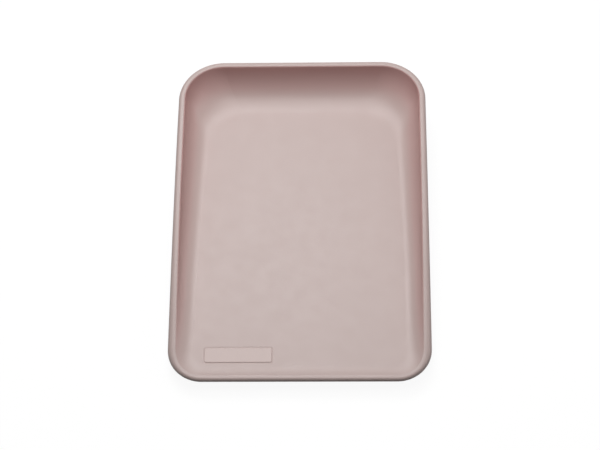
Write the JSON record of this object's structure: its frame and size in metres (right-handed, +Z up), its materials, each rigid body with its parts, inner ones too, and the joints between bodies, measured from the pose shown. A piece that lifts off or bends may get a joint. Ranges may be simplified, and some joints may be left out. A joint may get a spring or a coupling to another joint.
{
  "type": "changing mat",
  "caption": "Moulded foam changing mat with a high curved head end, side walls that fall to a flush leg end, and rubber pads in cups under its base.",
  "frame": {"origin": "centre of the bounding box in plan, on the surface that the mat stands on", "axes": "+Z up out of the bed, +Y along the mat's length to the high head end, +X to the right of someone who stands at the leg end"},
  "size_m": [0.5, 0.7, 0.1],
  "materials": {
    "moulded_skin": "soft satin polyurethane skin, dusty rose, finely pored",
    "soft_foam": "open-celled polyurethane foam, hidden inside the skins",
    "grip_rubber": "matt, with two turned grooves in the tread"
  },
  "bodies": {
    "root": {"top_skin": "moulded_skin", "foam_core": "soft_foam", "base_skin": "moulded_skin", "rubber_pad_leg_left": "grip_rubber", "rubber_pad_leg_right": "grip_rubber", "rubber_pad_middle_left": "grip_rubber", "rubber_pad_middle_right": "grip_rubber", "rubber_pad_head_left": "grip_rubber", "rubber_pad_head_right": "grip_rubber"}
  },
  "joints": []
}
